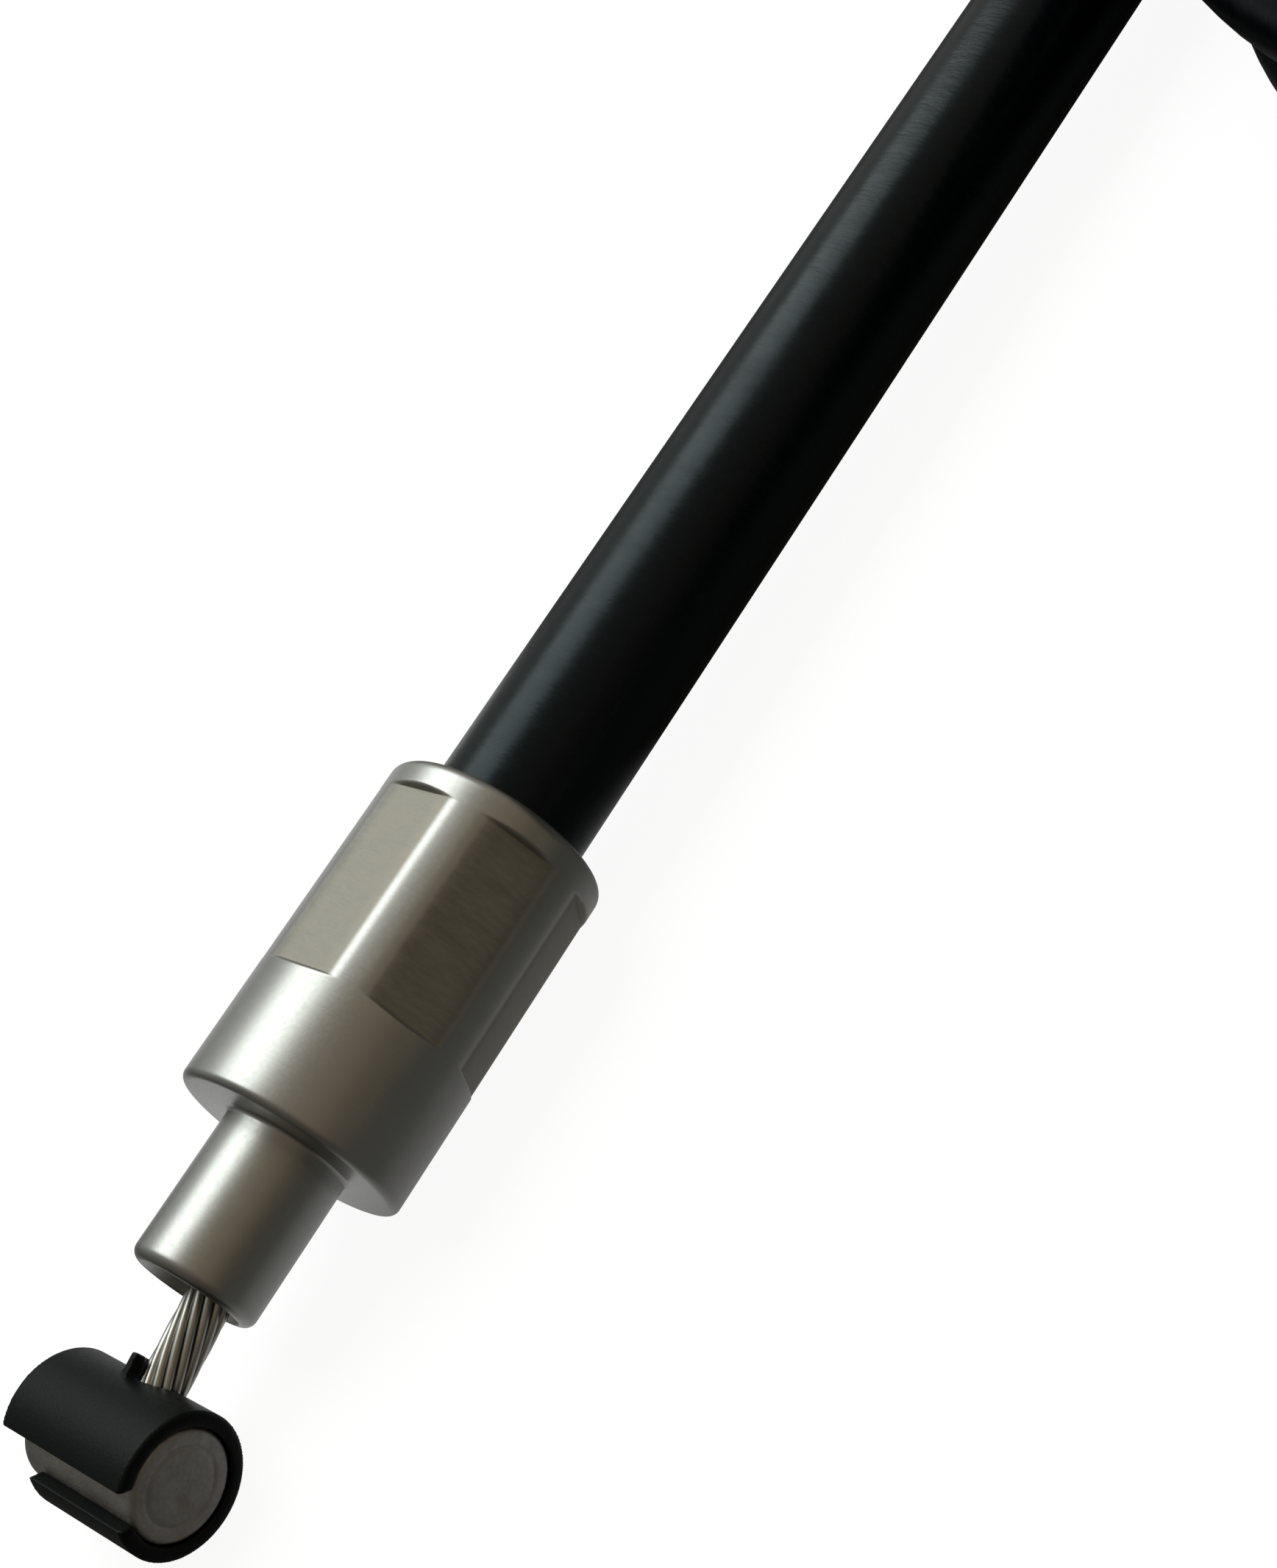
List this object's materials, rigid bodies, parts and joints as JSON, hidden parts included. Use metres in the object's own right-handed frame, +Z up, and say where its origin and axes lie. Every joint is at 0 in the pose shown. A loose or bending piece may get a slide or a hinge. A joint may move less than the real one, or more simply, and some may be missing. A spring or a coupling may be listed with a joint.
{
  "type": "control cable",
  "caption": "Bowden control cable for a motorcycle lever: barrel nipple in a slotted bush, crimped steel ferrule, black casing in a tied coil, threaded adjuster with boot",
  "frame": {"origin": "centre of the lever ferrule's front shoulder, on the axis of the nose", "axes": "+X from the shoulder into the casing, +Y along the barrel nipple, +Z up from the surface the cable lies on"},
  "size_m": [0.176, 0.1094, 0.0201],
  "materials": {
    "plated_steel": "bright zinc-nickel plated steel, smooth, with fine turning and crimp marks",
    "liner_plastic": "extruded slippery plastic, milky white",
    "armour_steel": "flat steel wire wound in a close helix",
    "casing_plastic": "extruded black plastic, satin",
    "wire_steel": "bright drawn steel wires laid in one strand",
    "nipple_metal": "die-cast zinc alloy, dull grey",
    "bush_plastic": "moulded charcoal nylon, matte",
    "tie_plastic": "black nylon cable tie",
    "nut_steel": "yellow zinc passivated steel",
    "boot_rubber": "moulded black rubber"
  },
  "bodies": {
    "casing": {"lever_ferrule": "plated_steel", "lever_liner": "liner_plastic", "lever_armour": "armour_steel", "lever_jacket": "casing_plastic", "conduit_run": "casing_plastic", "conduit_coil": "casing_plastic", "conduit_tail": "casing_plastic", "near_coil_tie": "tie_plastic", "far_coil_tie": "tie_plastic", "adjuster_screw": "plated_steel", "lower_jacket": "casing_plastic", "lower_armour": "armour_steel", "lower_liner": "liner_plastic", "wire_boot": "boot_rubber"},
    "lever_pull_wire": {"lever_wire": "wire_steel", "lever_nipple": "nipple_metal"},
    "bush": {"nipple_bush": "bush_plastic"},
    "lower_pull_wire": {"lower_wire": "wire_steel", "lower_nipple": "nipple_metal"},
    "rear_washer_body": {"rear_washer": "nut_steel"},
    "rear_nut_body": {"rear_lock_nut": "nut_steel"},
    "front_washer_body": {"front_washer": "nut_steel"},
    "front_nut_body": {"front_lock_nut": "nut_steel"}
  },
  "joints": [
    {"name": "lever_pull", "type": "slide", "parent": "casing", "child": "lever_pull_wire", "axis": [-1, 0, 0], "range_m": [0, 0.012]},
    {"name": "bush_turn", "type": "hinge", "parent": "lever_pull_wire", "child": "bush", "pos_m": [-0.0149, 0, -0.0019], "axis": [0, 1, 0], "range_deg": [-12, 0]},
    {"name": "lower_pull", "type": "slide", "parent": "casing", "child": "lower_pull_wire", "axis": [1, 0, 0], "range_m": [0, 0.012]},
    {"name": "rear_washer_slide", "type": "slide", "parent": "casing", "child": "rear_washer_body", "axis": [-1, 0, 0], "range_m": [-0.0025, 0.0025]},
    {"name": "rear_nut_turn", "type": "hinge", "parent": "rear_washer_body", "child": "rear_nut_body", "pos_m": [0.042, -0.096, 0.00175], "axis": [-1, 0, 0], "range_deg": [-720, 720]},
    {"name": "front_washer_slide", "type": "slide", "parent": "casing", "child": "front_washer_body", "axis": [-1, 0, 0], "range_m": [-0.0025, 0.0025]},
    {"name": "front_nut_turn", "type": "hinge", "parent": "front_washer_body", "child": "front_nut_body", "pos_m": [0.0266, -0.096, 0.00175], "axis": [-1, 0, 0], "range_deg": [-720, 720]}
  ],
  "couplings": [
    {"joint": "lower_pull", "follows": "lever_pull", "ratio": 1},
    {"joint": "rear_washer_slide", "follows": "rear_nut_turn", "m_per_rad": 0.00019894},
    {"joint": "front_washer_slide", "follows": "front_nut_turn", "m_per_rad": 0.00019894}
  ]
}
